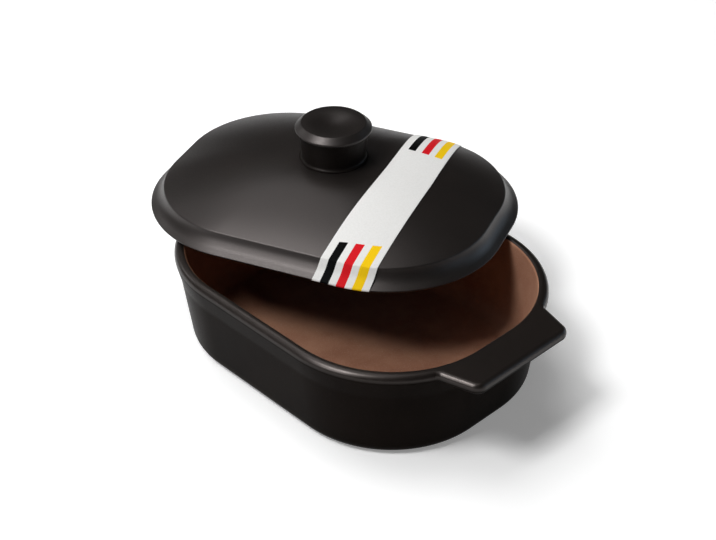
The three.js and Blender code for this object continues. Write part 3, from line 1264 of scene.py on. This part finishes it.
@dataclass
class Studio:
    """The pale floor, the soft light and the camera, in metres and degrees."""

    azimuth: float = 45.88
    elevation: float = 35.01
    distance: float = 1.21327
    lens: float = 74.16
    sensor: float = 36.0
    target: Place = (-0.03249, 0.03134, 0.0395)
    lamp_target_height: float = 0.08
    floor_size: float = 14.0
    floor_low: Colour = (0.94, 0.94, 0.94)
    floor_high: Colour = (0.96, 0.96, 0.96)
    floor_grain: Grain = Grain(3.0, 2.0)
    floor_roughness: float = 0.9
    shadow_middle: Station = (0.17, 0.0)
    shadow_span: Station = (0.08, 0.26)
    floor_lift: Station = (0.24, 0.30)
    far_span: Station = (0.7, 2.4)
    far_lift: Station = (0.0, 0.20)
    room_light: float = 0.04

    def build(self) -> None:
        """Sets up floor, world, lamps and camera."""
        self._floor()
        self._world()
        for lamp in self._lamps():
            self._add_lamp(lamp)
        self._camera()
        bpy.context.scene.view_settings.view_transform = "Standard"

    def _screen(self, right: float, toward: float, up: float) -> Place:
        """Finds a place that is given as the camera sees it.

        Args:
            right: metres to the camera's right of the target.
            toward: metres from the target towards the camera.
            up: metres above the floor.

        Returns:
            The place in the shared frame.
        """
        turn = math.radians(self.azimuth)
        x = right * math.cos(turn) + toward * math.sin(turn)
        y = right * math.sin(turn) - toward * math.cos(turn)
        return (x + self.target[0], y + self.target[1], up)

    def _lamps(self) -> list[SoftLight]:
        """Lists the lamps round the object.

        Returns:
            The lamps.
        """
        softbox, panel = (0.75, 0.75), (0.9, 0.9)
        return [
            SoftLight("key_softbox", self._screen(-1.17, 0.78, 2.27), softbox, 38.0),
            SoftLight("key_sheen", self._screen(-1.17, 0.80, 2.26), softbox, 6.0, lights=False),
            SoftLight("key_edge", self._screen(-1.17, 0.13, 2.40), softbox, 4.0),
            SoftLight("front_left", self._screen(-1.69, 1.43, 1.44), softbox, 19.0, lights=False),
            SoftLight("left_panel", self._screen(-1.95, -1.17, 1.34), softbox, 4.0),
            SoftLight("back_panel", self._screen(-0.78, -1.17, 2.27), (1.2, 0.9), 7.0),
            SoftLight("wash", self._screen(-0.65, -0.60, 2.52), (1.4, 1.4), 19.0, shines=False),
            SoftLight("ceiling", self._screen(-0.13, -0.18, 2.67), (1.2, 1.2), 4.5),
            SoftLight("cool_side", self._screen(2.39, -0.78, 0.73), panel, 5.2, COOL, lights=False),
            SoftLight("cool_front", self._screen(2.39, 0.78, 0.73), panel, 2.6, COOL, lights=False),
            SoftLight("left_low", self._screen(-1.62, -1.96, 0.65), panel, 0.5),
        ]

    def _add_lamp(self, lamp: SoftLight) -> None:
        """Hangs one lamp and points it at the object.

        Args:
            lamp: the lamp.
        """
        data = bpy.data.lights.new(lamp.name, "AREA")
        data.shape = "RECTANGLE"
        data.size, data.size_y = lamp.size
        data.energy = lamp.power
        data.color = lamp.colour
        holder = bpy.data.objects.new(lamp.name, data)
        bpy.context.scene.collection.objects.link(holder)
        holder.location = lamp.place
        holder.visible_diffuse = lamp.lights
        holder.visible_glossy = lamp.shines
        aim = Vector((self.target[0], self.target[1], self.lamp_target_height)) - Vector(lamp.place)
        holder.rotation_euler = aim.to_track_quat("-Z", "Y").to_euler()

    def _floor(self) -> None:
        """Lays the pale floor, which keeps the shadow and shows a little lighter than it is lit: it glows
        with painted light that is a little weaker round the object's shadow and stronger far off, where the
        lamps fall away.
        """
        bpy.ops.object.select_all(action="DESELECT")
        bpy.ops.mesh.primitive_plane_add(size=self.floor_size)
        floor = bpy.context.object
        floor.name = "pale_floor"
        graph = ShaderGraph("pale_floor")
        graph.set("Base Color", graph.mix(graph.noise(self.floor_grain), self.floor_low, self.floor_high))
        graph.set("Roughness", self.floor_roughness)
        graph.set("Specular IOR Level", 0.0)
        path = graph.nodes.new("ShaderNodeLightPath").outputs
        seen = graph.maths(Arithmetic.LARGER, path["Is Camera Ray"], path["Is Glossy Ray"])
        seen = graph.maths(Arithmetic.LARGER, seen, path["Is Transmission Ray"])
        away = graph.nodes.new("ShaderNodeVectorMath")
        away.operation = "DISTANCE"
        graph.links.new(graph.coordinates.outputs[Space.PIECE.value], away.inputs[0])
        away.inputs[1].default_value = (*self.shadow_middle, 0.0)
        # painted light: the glow is weaker round the object's shadow, which deepens that shade a little, and
        # grows far off where the lamp light falls away
        near = graph.span(away.outputs["Value"], self.shadow_span, self.floor_lift)
        far = graph.span(away.outputs["Value"], self.far_span, self.far_lift)
        lift = graph.maths(Arithmetic.SUM, near, far)
        glow = graph.nodes.new("ShaderNodeEmission")
        graph.links.new(graph.maths(Arithmetic.PRODUCT, seen, lift), glow.inputs["Strength"])
        total = graph.nodes.new("ShaderNodeAddShader")
        graph.links.new(graph.shader.outputs["BSDF"], total.inputs[0])
        graph.links.new(glow.outputs["Emission"], total.inputs[1])
        graph.links.new(total.outputs["Shader"], graph.nodes["Material Output"].inputs["Surface"])
        floor.data.materials.append(graph.material)

    def _world(self) -> None:
        """Gives the room a faint even light."""
        world = bpy.data.worlds.new("studio_room")
        bpy.context.scene.world = world
        world.use_nodes = True
        room = world.node_tree.nodes["Background"]
        room.inputs["Color"].default_value = (*WHITE, 1.0)
        room.inputs["Strength"].default_value = self.room_light

    def _camera(self) -> None:
        """Stands the camera where the photograph was taken from."""
        data = bpy.data.cameras.new("view")
        data.lens = self.lens
        data.sensor_width = self.sensor
        camera = bpy.data.objects.new("view", data)
        bpy.context.scene.collection.objects.link(camera)
        turn, rise = math.radians(self.azimuth), math.radians(self.elevation)
        back = Vector((
            math.sin(turn) * math.cos(rise),
            -math.cos(turn) * math.cos(rise),
            math.sin(rise),
        ))
        camera.location = Vector(self.target) + back * self.distance
        camera.rotation_euler = (-back).to_track_quat("-Z", "Y").to_euler()
        bpy.context.scene.camera = camera


def main() -> None:
    """Builds every piece, dresses it and sets up the studio."""
    logging.basicConfig(level=logging.INFO, format="%(name)s: %(message)s")
    lid = BakerLid()
    BakingDish().build()
    lid.build()
    LidKnob(lid).build()
    PaperBand(lid).build()
    Studio().build()


if __name__ == "__main__":
    main()
